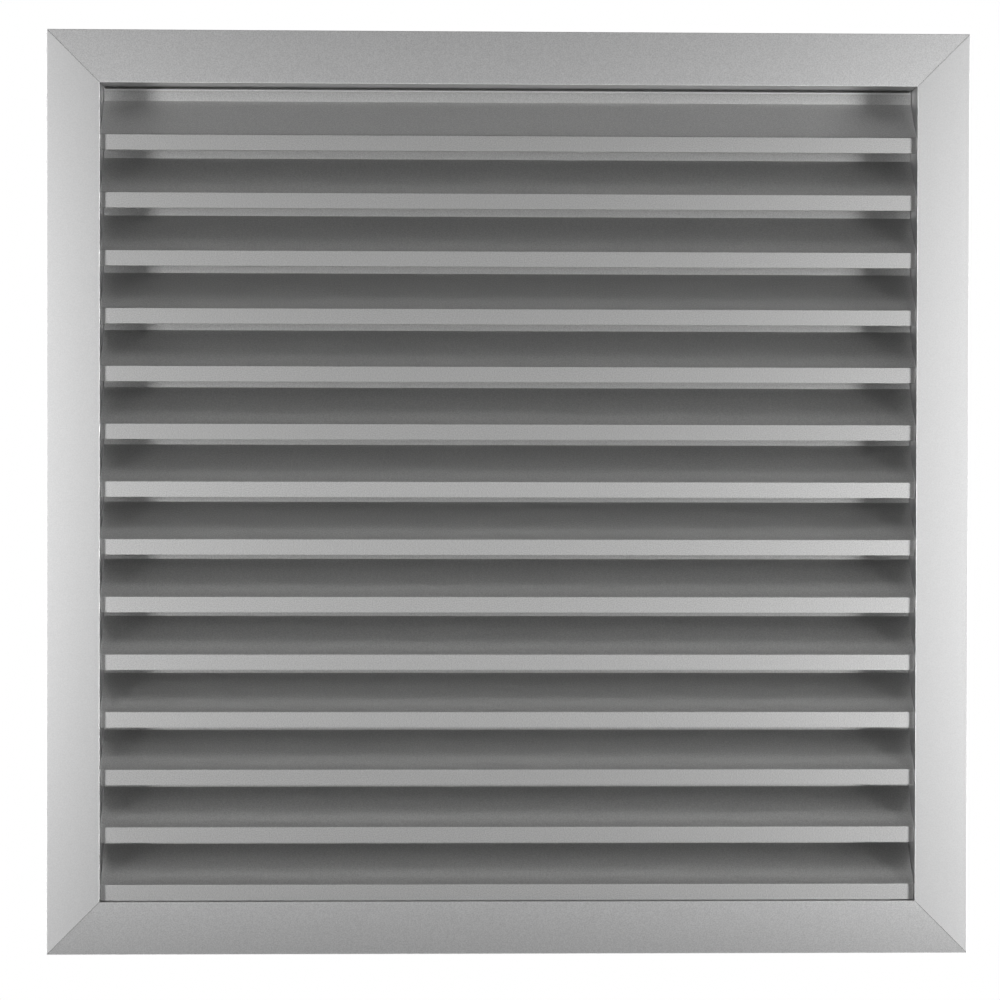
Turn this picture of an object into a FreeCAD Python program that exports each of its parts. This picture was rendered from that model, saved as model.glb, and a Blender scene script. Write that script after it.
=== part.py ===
"""Louvred vent grille: a square flanged frame of four mitred extrusions with fixed 45 degree blades.

Millimetres. +X to the right, +Y into the wall, +Z up. The origin is the centre of the opening,
in the plane of the wall that the flange's back face lies on, so the front faces -Y.
Every profile is drawn as a true section and extruded, as the real ones are.
"""
import FreeCAD
import Part
import os
from math import cos, radians, sin, sqrt, tan

# Driving sizes of the whole grille
overall_width = 600.0
overall_height = 600.0
flange_width = 34.2
flange_thickness = 2.5
neck_depth = 32.5

# Frame profile
neck_wall = 2.0
rear_lip_width = 8.0
rear_lip_thickness = 2.0
inner_edge_radius = 0.4
outer_edge_radius = 0.3
mitre_gap = 0.2

# Channel on the outside of the neck that takes the corner cleats
channel_wall = 1.3
channel_near_lip = 2.5
channel_far_lip = 2.0
cleat_thickness = 2.0
cleat_leg = 42.0
cleat_side_clearance = 0.05
cleat_end_clearance = 0.2
cleat_bend_radius = 1.0

# Blade profile
nominal_pitch = 37.5
nose_setback = 3.2
nose_height = 10.0
nose_edge_radius = 0.6
blade_wall = 1.6
slope_angle = 45.0
upstand_height = 7.6
drip_depth = 4.0
drip_wall = 1.4
drip_lip_height = 2.5
bead_height = 1.1
bead_reach = 0.8
groove_width = 0.4
groove_depth = 0.5
top_blade_gap = 1.5
bottom_blade_gap = 0.7
rear_blade_gap = 4.1
blade_end_gap = 0.5

# Screw port on the underside of each blade, and the hexagon head screws that enter its ends
port_bore_radius = 2.0
port_wall = 1.4
port_roof = 0.4
port_lip = 1.0
port_mouth_width = 2.2
port_share = 0.57
screw_radius = 1.9
screw_hole_clearance = 0.3
screw_length = 16.0
head_across_flats = 7.0
head_height = 2.8
head_clearance = 2.0
head_turn_step = 23.0

# Sizes that follow from the driving ones
opening_width = overall_width - 2 * flange_width
opening_height = overall_height - 2 * flange_width
channel_gap = cleat_thickness + 2 * cleat_side_clearance
channel_outside = neck_wall + channel_gap + channel_wall
nose_front = nose_setback - flange_thickness
slope_run = neck_depth - rear_lip_thickness - rear_blade_gap - blade_wall - nose_front
slope_rise = slope_run * tan(radians(slope_angle))
slope_length = slope_run / cos(radians(slope_angle))
blade_height = nose_height + slope_rise + upstand_height
blade_length = opening_width - 2 * blade_end_gap
port_place = port_share * slope_length
port_below = blade_wall + port_roof + port_bore_radius
port_depth = port_place * cos(radians(slope_angle)) + port_below * sin(radians(slope_angle))
port_height = port_place * sin(radians(slope_angle)) - port_below * cos(radians(slope_angle))
head_corner_radius = head_across_flats / 2 / cos(radians(30))
channel_length = nose_front + port_depth - head_corner_radius - head_clearance - channel_wall
stack_travel = opening_height - blade_height - top_blade_gap - bottom_blade_gap
blade_count = 1 + max(1, round(stack_travel / nominal_pitch))
blade_pitch = stack_travel / (blade_count - 1)
top_nose_z = opening_height / 2 - top_blade_gap - upstand_height - slope_rise

X_AXIS = FreeCAD.Vector(1, 0, 0)
Y_AXIS = FreeCAD.Vector(0, 1, 0)
Z_AXIS = FreeCAD.Vector(0, 0, 1)
CENTRE = FreeCAD.Vector(0, 0, 0)


def rounded_outline(corners, to_space):
    """Closed wire through corners (a, b, radius). Each corner with a radius becomes a tangent arc."""
    points = [to_space(a, b) for a, b, radius in corners]
    count = len(corners)
    edges = []
    starts = []
    ends = []
    middles = []
    for i in range(count):
        corner = points[i]
        radius = corners[i][2]
        back = (points[i - 1] - corner).normalize()
        ahead = (points[(i + 1) % count] - corner).normalize()
        half_turn = back.getAngle(ahead) / 2
        if radius:
            reach = radius * cos(half_turn) / sin(half_turn)
            bisector = (back + ahead).normalize()
            middles.append(corner + bisector * (radius / sin(half_turn) - radius))
        else:
            reach = 0.0
            middles.append(None)
        starts.append(corner + back * reach)
        ends.append(corner + ahead * reach)
    for i in range(count):
        if middles[i]:
            edges.append(Part.Arc(starts[i], middles[i], ends[i]).toShape())
        edges.append(Part.LineSegment(ends[i], starts[(i + 1) % count]).toShape())
    return Part.Wire(edges)


def extrude(corners, to_space, direction):
    """Solid swept from a rounded outline along a vector."""
    return Part.Face(rounded_outline(corners, to_space)).extrude(direction)


def frame_section():
    """Frame profile as (outward, depth, radius): outward is measured from the opening's edge."""
    channel_inside = neck_wall + channel_gap
    hook_top = channel_length + channel_wall
    lip_front = neck_depth - rear_lip_thickness
    return [
        (0, -flange_thickness, inner_edge_radius),
        (flange_width, -flange_thickness, outer_edge_radius),
        (flange_width, 0, 0),
        (channel_outside, 0, 0),
        (channel_outside, channel_near_lip, 0),
        (channel_inside, channel_near_lip, 0),
        (channel_inside, 0, 0),
        (neck_wall, 0, 0),
        (neck_wall, channel_length, 0),
        (channel_inside, channel_length, 0),
        (channel_inside, channel_length - channel_far_lip, 0),
        (channel_outside, channel_length - channel_far_lip, 0),
        (channel_outside, hook_top, 0),
        (neck_wall, hook_top, 0),
        (neck_wall, neck_depth, 0),
        (-rear_lip_width, neck_depth, 0),
        (-rear_lip_width, lip_front, 0),
        (0, lip_front, 0),
    ]


def frame_member(outer_length):
    """One side of the frame along X, outward towards +Z, with both ends mitred at 45 degrees."""
    half = outer_length / 2
    bar = extrude(frame_section(), lambda out, depth: FreeCAD.Vector(-half, depth, out), X_AXIS * outer_length)
    inset = mitre_gap / sqrt(2)
    section_width = flange_width + rear_lip_width
    mitred = [
        (inset - half, flange_width, 0),
        (half - inset, flange_width, 0),
        (half - inset - section_width, -rear_lip_width, 0),
        (inset - half + section_width, -rear_lip_width, 0),
    ]
    whole_depth = flange_thickness + neck_depth
    keep = extrude(mitred, lambda x, out: FreeCAD.Vector(x, -flange_thickness, out), Y_AXIS * whole_depth)
    return bar.common(keep)


def place_member(shape, turn, distance):
    """Turn a side about Y and move it out from the centre to its edge of the opening."""
    placed = shape.copy()
    placed.translate(Z_AXIS * distance)
    placed.rotate(CENTRE, Y_AXIS, turn)
    return placed


def blade_section():
    """Blade profile as (depth, height, radius), from the upper front corner of its nose."""
    underside = blade_wall / cos(radians(slope_angle))
    slope_per_mm = slope_rise / slope_run
    top = slope_rise + upstand_height
    under_bead = top - bead_height
    groove_back = slope_run + groove_depth
    rear = slope_run + blade_wall
    drip_lip = drip_depth - drip_wall
    return [
        (0, 0, nose_edge_radius),
        (slope_run, slope_rise, 0),
        (slope_run, under_bead - groove_width, 0),
        (groove_back, under_bead - groove_width, 0),
        (groove_back, under_bead, 0),
        (slope_run - bead_reach, under_bead, 0),
        (slope_run - bead_reach, top, 0),
        (rear, top, 0),
        (rear, rear * slope_per_mm - underside, 0),
        (blade_wall, blade_wall * slope_per_mm - underside, 0),
        (blade_wall, drip_wall - nose_height, 0),
        (drip_lip, drip_wall - nose_height, 0),
        (drip_lip, drip_lip_height - nose_height, 0),
        (drip_depth, drip_lip_height - nose_height, 0),
        (drip_depth, -nose_height, 0),
        (0, -nose_height, 0),
    ]


def screw_port():
    """Screw port along the blade: a block on the slope's underside with a round bore, open underneath."""
    half_width = port_bore_radius + port_wall
    above = port_bore_radius + port_roof + blade_wall / 2
    under = port_bore_radius + port_lip
    block = Part.makeBox(blade_length, 2 * half_width, above + under, FreeCAD.Vector(0, -half_width, -under))
    bore = Part.makeCylinder(port_bore_radius, blade_length, CENTRE, X_AXIS)
    mouth = Part.makeBox(blade_length, port_mouth_width, under, FreeCAD.Vector(0, -port_mouth_width / 2, -under))
    port = block.cut(bore).cut(mouth)
    port.rotate(CENTRE, X_AXIS, slope_angle)
    port.translate(FreeCAD.Vector(-blade_length / 2, port_depth, port_height))
    return port


def blade():
    """One blade with its nose's upper front corner on the X axis."""
    left = -blade_length / 2
    body = extrude(blade_section(), lambda depth, height: FreeCAD.Vector(left, depth, height),
                   X_AXIS * blade_length)
    return body.fuse(screw_port()).removeSplitter()


def blade_heights():
    """Height of each nose's upper edge, from the top blade down."""
    return [top_nose_z - i * blade_pitch for i in range(blade_count)]


def hole():
    """Clearance hole through a jamb, along -X from a start just outside its outer face."""
    start = FreeCAD.Vector(-2 * neck_wall, 0, 0)
    return Part.makeCylinder(screw_radius + screw_hole_clearance, 3 * neck_wall, start, X_AXIS)


def screw():
    """Hexagon head screw along -X with the underside of its head on the plane X = 0."""
    corners = []
    for i in range(6):
        angle = radians(60 * i)
        corners.append(FreeCAD.Vector(0, head_corner_radius * cos(angle), head_corner_radius * sin(angle)))
    head = Part.Face(Part.makePolygon(corners + corners[:1])).extrude(X_AXIS * head_height)
    shank = Part.makeCylinder(screw_radius, screw_length, FreeCAD.Vector(-screw_length, 0, 0), X_AXIS)
    return head.fuse(shank)


def at_blade_ends(example, side):
    """A copy of the example at each blade's port, on the right jamb (side 1) or the left (side -1)."""
    jamb_face = side * (opening_width / 2 + neck_wall)
    copies = []
    for number, nose_z in enumerate(blade_heights()):
        copy = example.copy()
        copy.rotate(CENTRE, X_AXIS, number * head_turn_step)
        if side < 0:
            copy.rotate(CENTRE, Z_AXIS, 180)
        copy.translate(FreeCAD.Vector(jamb_face, nose_front + port_depth, nose_z + port_height))
        copies.append(copy)
    return copies


def corner_cleat():
    """Bent angle that joins the upper right corner inside the channels of both sides."""
    inside_x = opening_width / 2 + neck_wall + cleat_side_clearance
    inside_z = opening_height / 2 + neck_wall + cleat_side_clearance
    outside_x = inside_x + cleat_thickness
    outside_z = inside_z + cleat_thickness
    corners = [
        (outside_x, outside_z, cleat_bend_radius),
        (outside_x, outside_z - cleat_leg, 0),
        (inside_x, outside_z - cleat_leg, 0),
        (inside_x, inside_z, 0),
        (outside_x - cleat_leg, inside_z, 0),
        (outside_x - cleat_leg, outside_z, 0),
    ]
    width = channel_length - 2 * cleat_end_clearance
    return extrude(corners, lambda x, z: FreeCAD.Vector(x, cleat_end_clearance, z), Y_AXIS * width)


def mirrored(shape, flip_x, flip_z):
    """Copy of a shape mirrored left to right, top to bottom, or both ways."""
    copy = shape.copy()
    if flip_x:
        copy = copy.mirror(CENTRE, X_AXIS)
    if flip_z:
        copy = copy.mirror(CENTRE, Z_AXIS)
    return copy


def build():
    """All nodes by name."""
    level = frame_member(overall_width)
    upright = frame_member(overall_height)
    nodes = {
        "frame_top": place_member(level, 0, opening_height / 2),
        "frame_bottom": place_member(level, 180, opening_height / 2),
        "frame_right": place_member(upright, 90, opening_width / 2).cut(at_blade_ends(hole(), 1)),
        "frame_left": place_member(upright, 270, opening_width / 2).cut(at_blade_ends(hole(), -1)),
        "blade_screws_right": Part.makeCompound(at_blade_ends(screw(), 1)),
        "blade_screws_left": Part.makeCompound(at_blade_ends(screw(), -1)),
    }
    cleat = corner_cleat()
    for upper, flip_z in (("top", False), ("bottom", True)):
        for side, flip_x in (("left", True), ("right", False)):
            nodes["corner_cleat_" + upper + "_" + side] = mirrored(cleat, flip_x, flip_z)
    slat = blade()
    for number, nose_z in enumerate(blade_heights(), 1):
        placed = slat.copy()
        placed.translate(FreeCAD.Vector(0, nose_front, nose_z))
        nodes["blade_%02d" % number] = placed
    return nodes


os.makedirs("parts", exist_ok=True)
for name, shape in build().items():
    shape.exportStep("parts/" + name + ".step")
    print(name, len(shape.Solids), "solids", round(shape.Volume / 1000, 2), "cm3", shape.isValid())
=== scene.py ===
"""Look of the louvred vent grille: satin anodised aluminium between two side softboxes, on white."""
from math import radians

import bpy
from mathutils import Matrix, Vector


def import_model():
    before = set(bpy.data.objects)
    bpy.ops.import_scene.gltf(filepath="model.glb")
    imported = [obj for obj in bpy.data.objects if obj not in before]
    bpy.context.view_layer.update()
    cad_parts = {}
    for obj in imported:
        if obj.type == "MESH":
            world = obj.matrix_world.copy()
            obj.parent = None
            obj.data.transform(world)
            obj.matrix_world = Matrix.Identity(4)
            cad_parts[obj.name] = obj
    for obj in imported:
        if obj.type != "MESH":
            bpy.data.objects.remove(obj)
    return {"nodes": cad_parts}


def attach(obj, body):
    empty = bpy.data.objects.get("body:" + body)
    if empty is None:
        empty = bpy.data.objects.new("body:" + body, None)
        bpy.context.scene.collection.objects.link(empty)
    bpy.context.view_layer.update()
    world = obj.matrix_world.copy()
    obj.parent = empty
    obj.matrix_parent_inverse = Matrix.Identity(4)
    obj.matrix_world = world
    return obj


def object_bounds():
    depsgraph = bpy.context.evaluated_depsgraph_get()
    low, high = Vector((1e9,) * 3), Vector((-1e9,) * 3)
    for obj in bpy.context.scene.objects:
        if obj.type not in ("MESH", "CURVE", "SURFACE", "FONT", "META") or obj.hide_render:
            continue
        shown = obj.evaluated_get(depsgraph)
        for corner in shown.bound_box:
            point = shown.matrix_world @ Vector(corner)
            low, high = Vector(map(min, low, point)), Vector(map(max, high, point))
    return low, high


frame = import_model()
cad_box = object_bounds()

# Directions in the part's frame
RIGHT = (1, 0, 0)
LEFT = (-1, 0, 0)
INWARD = (0, 1, 0)
UP = (0, 0, 1)
DOWN = (0, 0, -1)

# Camera, fitted to the photograph: metres and degrees in the part's frame
CAMERA_PLACE = (-0.06986, -2.1640, 0.02717)
CAMERA_YAW = -1.69
CAMERA_PITCH = -0.83
CAMERA_ROLL = -0.12
CAMERA_LENS = 119.7
SENSOR_WIDTH = 36.0

# Softboxes: angle off the front normal, distance from the grille, size and power
LEFT_BOX = {"angle": -56.5, "distance": 1.63, "size": (0.29, 1.05), "power": 19.4}
RIGHT_BOX = {"angle": 59.4, "distance": 1.37, "size": (0.25, 1.15), "power": 18.7}
SOFTBOX_HEIGHT = 0.005

# Lamp high behind the grille, for its back
BACK_PLACE = (0.0, 1.4, 1.4)
BACK_SIZE = 0.8
BACK_POWER = 3.0

# Pale ceiling in front of the grille: strength, where it begins upwards and where it ends rearwards
CEILING_STRENGTH = 0.1
CEILING_RISE = (0.1, 0.6)
CEILING_END = (-0.5, 0.1)

# White that the metal mirrors: where it begins rearwards, where it fades upwards and what is left there
REAR_WHITE = (-0.15, 0.05)
LOW_WHITE = (0.2, 0.5)
HIGH_WHITE = 0.18

# Range of the reflection count over which the mirrored white ends, so that it shows only once
MIRRORED_ONCE = (1.2, 1.8)

# Floor, below the hung grille
FLOOR_DROP = 0.6
FLOOR_RADIUS = 1.1
FLOOR_SIDES = 96
FLOOR_COLOUR = (0.9, 0.9, 0.9, 1.0)
FLOOR_ROUGHNESS = 0.9
FLOOR_GLOW = 0.6
WHITE = (1.0, 1.0, 1.0, 1.0)

# Half widths of the opening and of the flange overall
OPENING_EDGE = 0.2658
FLANGE_EDGE = 0.3

# Where the flange's own faces begin: outwards from the opening's lining, and forwards to the front face
FLANGE_START = (OPENING_EDGE + 0.0003, OPENING_EDGE + 0.0006)
FLANGE_FACE = (-0.0022, -0.0018)

# Depth at which a blade's nose ends, where its painted light tone gives way to the one behind it
NOSE_END = (0.0012, 0.0016)

# Metal: base colours and roughness
FRAME_BASE = (0.79, 0.79, 0.792)
BLADE_BASE = (0.7, 0.7, 0.696)
# The seam colour is near-black painted shade for the mitre strips
SEAM_SHADE_BASE = (0.02, 0.02, 0.02)
MILL_BASE = (0.68, 0.68, 0.69)
STEEL_BASE = (0.6, 0.6, 0.61)
SATIN_ROUGHNESS = 0.45
MILL_ROUGHNESS = 0.5
STEEL_ROUGHNESS = 0.3

# Sideways spread of the reflections, and the upright share of its direction
SIDE_SPREAD = 0.45
UPRIGHT_SHARE = 0.03

# Grain: cells per metre in x, y and z, and how far it changes the tone, the roughness and the height
GRAIN_ALONG_X = (1300.0, 1500.0, 1500.0)
GRAIN_ALONG_Z = (1500.0, 1500.0, 1300.0)
SEAM_GRAIN = (900.0, 900.0, 900.0)
GRAIN_DETAIL = 3.0
LEVEL_GRAIN = 0.3
SIDE_GRAIN = 0.12
BLADE_GRAIN = 0.35
ROUGHNESS_CHANGE = 0.02
BUMP_DISTANCE = 0.00001
BUMP_STRENGTH = 0.5

# Flanges, from the opening to the outer edge: lean of the shading normal in radians, a painted light
# ramp (brighter top flange, darker outer bottom edge), and the painted shade tones of the opening's
# lining, front to rear
LEFT_FLANGE = {"outward": LEFT, "lean": (0.033, 0.06), "painted_light": (1.0, 1.0), "recess_shade": (0.8, 1.0)}
RIGHT_FLANGE = {"outward": RIGHT, "lean": (0.012, 0.027), "painted_light": (1.0, 1.0), "recess_shade": (0.8, 1.0)}
TOP_FLANGE = {"outward": UP, "lean": (0.02, 0.02), "painted_light": (1.14, 1.1), "recess_shade": (0.5, 0.5)}
BOTTOM_FLANGE = {"outward": DOWN, "lean": (0.02, 0.02), "painted_light": (1.03, 0.86), "recess_shade": (1.0, 1.0)}

# Depth range over which the painted shade on the lining goes from its first tone to its second
RECESS_SHADE_DEPTH = (0.006, 0.022)

# Blades painted alike: name, numbers, and the painted light tones of the nose and of all behind it,
# which brighten or darken the noses and brighten the first slope
BLADE_PAINTED_LIGHT_GROUPS = (
    ("anodised_first_blade", range(1, 2), (0.99, 1.11)),
    ("anodised_upper_blades", range(2, 7), (0.97, 1.0)),
    ("anodised_middle_blades", range(7, 12), (1.13, 1.0)),
    ("anodised_lower_blades", range(12, 15), (1.03, 1.0)),
)

# Painted highlight on the bead at the top of the first blade: its height, blend and brightness
BEAD_HEIGHT = 0.0011
BEAD_BLEND = 0.0001
BEAD_HIGHLIGHT = 1.3

# Near-black strips of painted shade behind the mitres: depth of their middle, thickness, width, and how
# much shorter than the mitre
SEAM_DEPTH = -0.0007
SEAM_THICKNESS = 0.0008
SEAM_WIDTH = 0.00019
SEAM_SHORTER = 0.001
MITRE_ANGLE = 45


class Nodes:
    """Shader nodes of one tree."""

    def __init__(self, tree):
        self.tree = tree
        self.tree.nodes.clear()

    def add(self, kind, **values):
        """New node with the given properties."""
        node = self.tree.nodes.new(kind)
        for name, value in values.items():
            setattr(node, name, value)
        return node

    def link(self, source, target):
        """Link from an output to an input."""
        self.tree.links.new(source, target)

    def ramp(self, source, start, end, low, high):
        """Value that goes from low to high while the source goes from start to end."""
        node = self.add("ShaderNodeMapRange")
        node.inputs["From Min"].default_value = start
        node.inputs["From Max"].default_value = end
        node.inputs["To Min"].default_value = low
        node.inputs["To Max"].default_value = high
        self.link(source, node.inputs["Value"])
        return node.outputs["Result"]

    def combine(self, operation, first, second):
        """Result of a calculation with two values."""
        node = self.add("ShaderNodeMath", operation=operation)
        self.link(first, node.inputs[0])
        self.link(second, node.inputs[1])
        return node.outputs["Value"]

    def along(self, place, direction):
        """How far a place lies along a direction."""
        node = self.add("ShaderNodeVectorMath", operation="DOT_PRODUCT")
        self.link(place, node.inputs[0])
        node.inputs[1].default_value = direction
        return node.outputs["Value"]


def new_material(name):
    """New material with one shader."""
    material = bpy.data.materials.new(name)
    material.use_nodes = True
    nodes = Nodes(material.node_tree)
    output = nodes.add("ShaderNodeOutputMaterial")
    shader = nodes.add("ShaderNodeBsdfPrincipled")
    nodes.link(shader.outputs["BSDF"], output.inputs["Surface"])
    return material, nodes, shader


def across_flange(nodes, place, outward, values):
    """Value that changes from the opening's edge to the flange's outer edge."""
    return nodes.ramp(nodes.along(place, outward), OPENING_EDGE, FLANGE_EDGE, *values)


def paint_recess_shade(nodes, place, outward, painted_tones):
    """Painted shade on the faces that line the opening, from their front to their rear, and 1 on the
    others.
    """
    depth = nodes.along(place, INWARD)
    beyond = nodes.ramp(nodes.along(place, outward), *FLANGE_START, 0.0, 1.0)
    front = nodes.ramp(depth, *FLANGE_FACE, 1.0, 0.0)
    lining = nodes.ramp(depth, *RECESS_SHADE_DEPTH, *painted_tones)
    return nodes.combine("MAXIMUM", lining, nodes.combine("MAXIMUM", beyond, front))


def leaning_normal(nodes, place, outward, lean):
    """Normal of a flange that leans back slightly towards its outer edge."""
    push = nodes.add("ShaderNodeVectorMath", operation="SCALE")
    push.inputs[0].default_value = outward
    nodes.link(across_flange(nodes, place, outward, lean), push.inputs["Scale"])
    pushed = nodes.add("ShaderNodeVectorMath", operation="ADD")
    nodes.link(nodes.add("ShaderNodeNewGeometry").outputs["Normal"], pushed.inputs[0])
    nodes.link(push.outputs["Vector"], pushed.inputs[1])
    unit = nodes.add("ShaderNodeVectorMath", operation="NORMALIZE")
    nodes.link(pushed.outputs["Vector"], unit.inputs[0])
    return unit.outputs["Vector"]


def paint_bead_highlight(nodes, place):
    """Painted highlight: brighter tone on the hooked bead at the top of the first blade, standing in
    for the light it catches.
    """
    start = max(corner[2] for corner in frame["nodes"]["blade_01"].bound_box) - BEAD_HEIGHT
    return nodes.ramp(nodes.along(place, UP), start, start + BEAD_BLEND, 1.0, BEAD_HIGHLIGHT)


def grain_pattern(nodes, place, stretch):
    """Fine grain, scaled in x, y and z by stretch alone."""
    mapping = nodes.add("ShaderNodeMapping")
    mapping.inputs["Scale"].default_value = stretch
    nodes.link(place, mapping.inputs["Vector"])
    noise = nodes.add("ShaderNodeTexNoise")
    noise.inputs["Scale"].default_value = 1.0
    noise.inputs["Detail"].default_value = GRAIN_DETAIL
    nodes.link(mapping.outputs["Vector"], noise.inputs["Vector"])
    return noise.outputs["Fac"]


def metal(name, base, roughness, stretch, change=LEVEL_GRAIN, flange=None, painted_tones=None, bead_highlight=False):
    """Metal with fine grain; change is how far the grain alters the tone. Painted light on noses,
    flanges and bead, and painted shade on the opening's lining, are multiplied in when asked.
    """
    material, nodes, shader = new_material(name)
    shader.inputs["Metallic"].default_value = 1.0
    shader.inputs["Anisotropic"].default_value = SIDE_SPREAD
    spread = nodes.add("ShaderNodeCombineXYZ")
    spread.inputs["X"].default_value = 1.0
    spread.inputs["Z"].default_value = UPRIGHT_SHARE
    nodes.link(spread.outputs["Vector"], shader.inputs["Tangent"])

    place = nodes.add("ShaderNodeTexCoord").outputs["Object"]
    grain = grain_pattern(nodes, place, stretch)
    bump = nodes.add("ShaderNodeBump")
    bump.inputs["Distance"].default_value = BUMP_DISTANCE
    bump.inputs["Strength"].default_value = BUMP_STRENGTH
    nodes.link(grain, bump.inputs["Height"])
    nodes.link(bump.outputs["Normal"], shader.inputs["Normal"])

    shades = [nodes.ramp(grain, 0.0, 1.0, 1.0 - change, 1.0 + change)]
    # Painted light: brighter or darker noses and first slope for each blade group
    if painted_tones:
        shades.append(nodes.ramp(nodes.along(place, INWARD), *NOSE_END, *painted_tones))
    # Painted highlight on the first blade's bead
    if bead_highlight:
        shades.append(paint_bead_highlight(nodes, place))
    if flange:
        outward = flange["outward"]
        # Painted light across the flange: brighter top flange, darker outer bottom edge
        shades.append(across_flange(nodes, place, outward, flange["painted_light"]))
        # Painted shade on the faces that line the opening
        shades.append(paint_recess_shade(nodes, place, outward, flange["recess_shade"]))
        nodes.link(leaning_normal(nodes, place, outward, flange["lean"]), bump.inputs["Normal"])
    shade = shades[0]
    for other in shades[1:]:
        shade = nodes.combine("MULTIPLY", shade, other)

    colour = nodes.add("ShaderNodeMix", data_type="RGBA", blend_type="MULTIPLY")
    colour.inputs["Factor"].default_value = 1.0
    colour.inputs[6].default_value = (*base, 1.0)
    nodes.link(shade, colour.inputs[7])
    nodes.link(colour.outputs[2], shader.inputs["Base Color"])
    rough = nodes.ramp(grain, 0.0, 1.0, roughness - ROUGHNESS_CHANGE, roughness + ROUGHNESS_CHANGE)
    nodes.link(rough, shader.inputs["Roughness"])
    return material


def dress(name, material):
    """Give one CAD node a material."""
    node = frame["nodes"][name]
    node.data.materials.clear()
    node.data.materials.append(material)


def dress_all():
    """Materials for every CAD node: the grain follows the direction each length was extruded in."""
    members = (
        ("left", GRAIN_ALONG_Z, SIDE_GRAIN, LEFT_FLANGE),
        ("right", GRAIN_ALONG_Z, SIDE_GRAIN, RIGHT_FLANGE),
        ("top", GRAIN_ALONG_X, LEVEL_GRAIN, TOP_FLANGE),
        ("bottom", GRAIN_ALONG_X, LEVEL_GRAIN, BOTTOM_FLANGE),
    )
    for side, stretch, change, flange in members:
        material = metal("anodised_" + side, FRAME_BASE, SATIN_ROUGHNESS, stretch, change, flange)
        dress("frame_" + side, material)
    # The blade groups are copies of one metal that differ only in painted light
    for name, numbers, painted_tones in BLADE_PAINTED_LIGHT_GROUPS:
        material = metal(name, BLADE_BASE, SATIN_ROUGHNESS, GRAIN_ALONG_X, BLADE_GRAIN, painted_tones=painted_tones,
                         bead_highlight=1 in numbers)
        for number in numbers:
            dress("blade_%02d" % number, material)
    mill = metal("mill_aluminium", MILL_BASE, MILL_ROUGHNESS, GRAIN_ALONG_X)
    steel = metal("screw_steel", STEEL_BASE, STEEL_ROUGHNESS, GRAIN_ALONG_X)
    for name in frame["nodes"]:
        if name.startswith("corner_cleat"):
            dress(name, mill)
        elif name.startswith("blade_screws"):
            dress(name, steel)


def mitre_seams():
    """Near-black strip in each mitre, behind the flange's front: painted shade, so that the joint reads
    as a dark hairline.
    """
    # Near-black metal standing in for the shade in the joint
    material = metal("seam_shadow", SEAM_SHADE_BASE, MILL_ROUGHNESS, SEAM_GRAIN)
    middle = (OPENING_EDGE + FLANGE_EDGE) / 2
    length = (FLANGE_EDGE - OPENING_EDGE) * 2 ** 0.5 - SEAM_SHORTER
    for level, up in (("top", 1), ("bottom", -1)):
        for side, right in (("left", -1), ("right", 1)):
            bpy.ops.mesh.primitive_cube_add(size=1, location=(right * middle, SEAM_DEPTH, up * middle))
            seam = bpy.context.object
            seam.name = "mitre_seam_%s_%s" % (level, side)
            seam.scale = (length, SEAM_THICKNESS, SEAM_WIDTH)
            seam.rotation_euler = (0, radians(-MITRE_ANGLE) * up * right, 0)
            seam.data.materials.append(material)
            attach(seam, "root")


def background(nodes, strength=None):
    """White light, of the strength that an output gives, or else of strength 1."""
    node = nodes.add("ShaderNodeBackground")
    node.inputs["Color"].default_value = WHITE
    node.inputs["Strength"].default_value = 1.0
    if strength:
        nodes.link(strength, node.inputs["Strength"])
    return node.outputs["Background"]


def world():
    """White to the camera; the metal mirrors part of it, and else a dark room with a pale ceiling."""
    sky = bpy.data.worlds.new("studio")
    bpy.context.scene.world = sky
    sky.use_nodes = True
    nodes = Nodes(sky.node_tree)
    output = nodes.add("ShaderNodeOutputWorld")
    view = nodes.add("ShaderNodeTexCoord").outputs["Generated"]
    rays = nodes.add("ShaderNodeLightPath").outputs
    height = nodes.along(view, UP)
    depth = nodes.along(view, INWARD)

    high = nodes.ramp(height, *CEILING_RISE, 0.0, CEILING_STRENGTH)
    forward = nodes.ramp(depth, *CEILING_END, 1.0, 0.0)
    room = background(nodes, nodes.combine("MULTIPLY", high, forward))

    rear = nodes.ramp(depth, *REAR_WHITE, 0.0, 1.0)
    low = nodes.ramp(height, *LOW_WHITE, 1.0, HIGH_WHITE)
    once = nodes.ramp(rays["Glossy Depth"], *MIRRORED_ONCE, 1.0, 0.0)
    mirrored = nodes.combine("MULTIPLY", nodes.combine("MULTIPLY", rear, low), once)
    mirrored = nodes.combine("MULTIPLY", mirrored, rays["Is Glossy Ray"])
    seen = nodes.combine("MAXIMUM", rays["Is Camera Ray"], rays["Is Transmission Ray"])

    shown = nodes.add("ShaderNodeMixShader")
    nodes.link(nodes.combine("MAXIMUM", seen, mirrored), shown.inputs["Fac"])
    nodes.link(room, shown.inputs[1])
    nodes.link(background(nodes), shown.inputs[2])
    nodes.link(shown.outputs["Shader"], output.inputs["Surface"])


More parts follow.
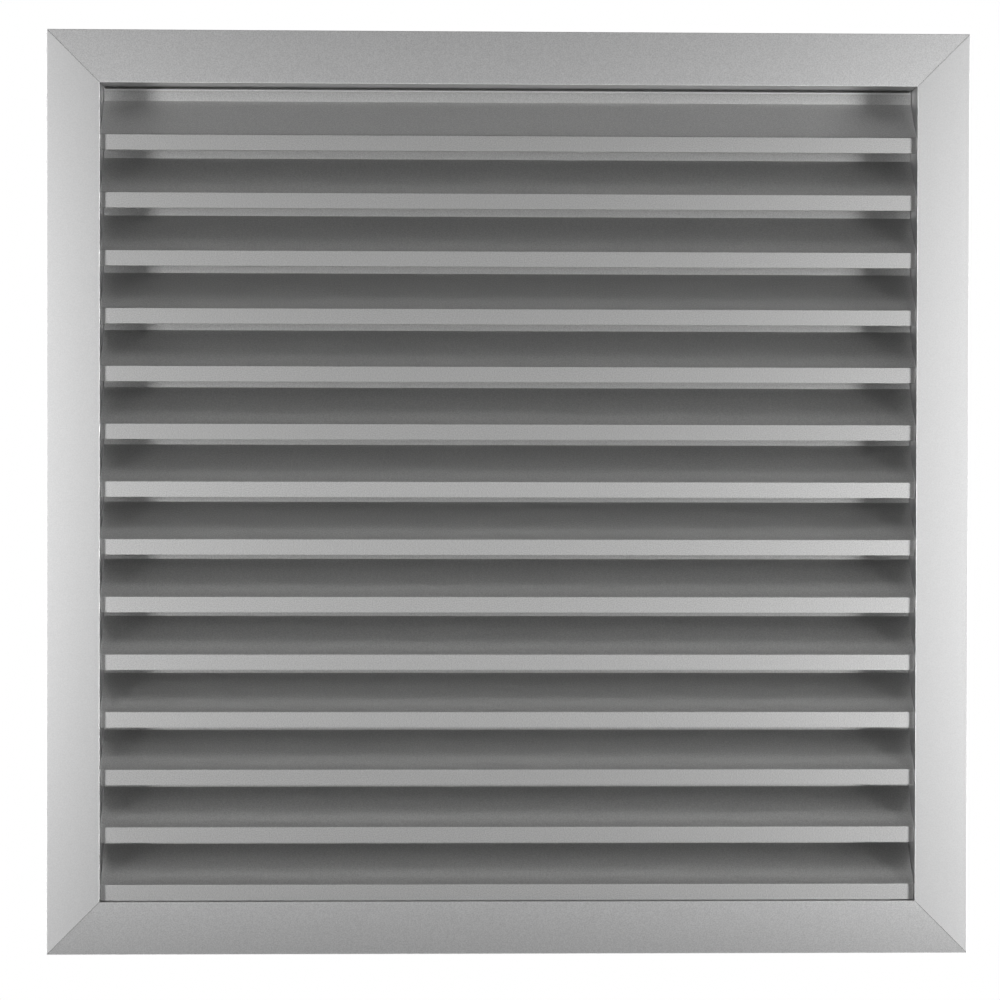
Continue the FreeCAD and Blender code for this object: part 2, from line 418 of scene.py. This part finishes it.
def floor():
    """Pale floor under the hung grille that keeps its soft shadow."""
    bpy.ops.mesh.primitive_circle_add(vertices=FLOOR_SIDES, radius=FLOOR_RADIUS, fill_type="NGON",
                                      location=(0, 0, cad_box[0][2] - FLOOR_DROP))
    disc = bpy.context.object
    disc.name = "floor"
    material, nodes, shader = new_material("floor")
    shader.inputs["Base Color"].default_value = FLOOR_COLOUR
    shader.inputs["Roughness"].default_value = FLOOR_ROUGHNESS
    shader.inputs["Emission Color"].default_value = WHITE
    rays = nodes.add("ShaderNodeLightPath").outputs
    seen = nodes.combine("MAXIMUM", rays["Is Camera Ray"], rays["Is Transmission Ray"])
    seen = nodes.combine("MAXIMUM", seen, rays["Is Glossy Ray"])
    nodes.link(nodes.ramp(seen, 0.0, 1.0, 0.0, FLOOR_GLOW), shader.inputs["Emission Strength"])
    disc.data.materials.append(material)


def area_lamp(name, place, size, power):
    """Rectangular lamp at a place, aimed at the middle of the grille."""
    data = bpy.data.lights.new(name, "AREA")
    data.shape = "RECTANGLE"
    data.size, data.size_y = size
    data.energy = power
    lamp = bpy.data.objects.new(name, data)
    bpy.context.scene.collection.objects.link(lamp)
    lamp.location = place
    lamp.rotation_euler = (-Vector(place)).to_track_quat("-Z", "Y").to_euler()


def softbox(name, box):
    """Side softbox at an angle off the front normal."""
    away = Matrix.Rotation(radians(box["angle"]), 4, "Z") @ Vector((0, -box["distance"], 0))
    area_lamp(name, away + Vector((0, 0, SOFTBOX_HEIGHT)), box["size"], box["power"])


def camera():
    """Camera at the photograph's place and angle."""
    data = bpy.data.cameras.new("camera")
    data.lens = CAMERA_LENS
    data.sensor_width = SENSOR_WIDTH
    eye = bpy.data.objects.new("camera", data)
    bpy.context.scene.collection.objects.link(eye)
    turn = Matrix.Rotation(radians(CAMERA_YAW), 4, "Z") @ Matrix.Rotation(radians(CAMERA_PITCH), 4, "X")
    turn = turn @ Matrix.Rotation(radians(CAMERA_ROLL), 4, "Y") @ Matrix.Rotation(radians(90), 4, "X")
    eye.matrix_world = Matrix.Translation(CAMERA_PLACE) @ turn
    bpy.context.scene.camera = eye


dress_all()
mitre_seams()
world()
floor()
softbox("softbox_left", LEFT_BOX)
softbox("softbox_right", RIGHT_BOX)
area_lamp("back_lamp", BACK_PLACE, (BACK_SIZE, BACK_SIZE), BACK_POWER)
camera()
bpy.context.scene.view_settings.view_transform = "Standard"
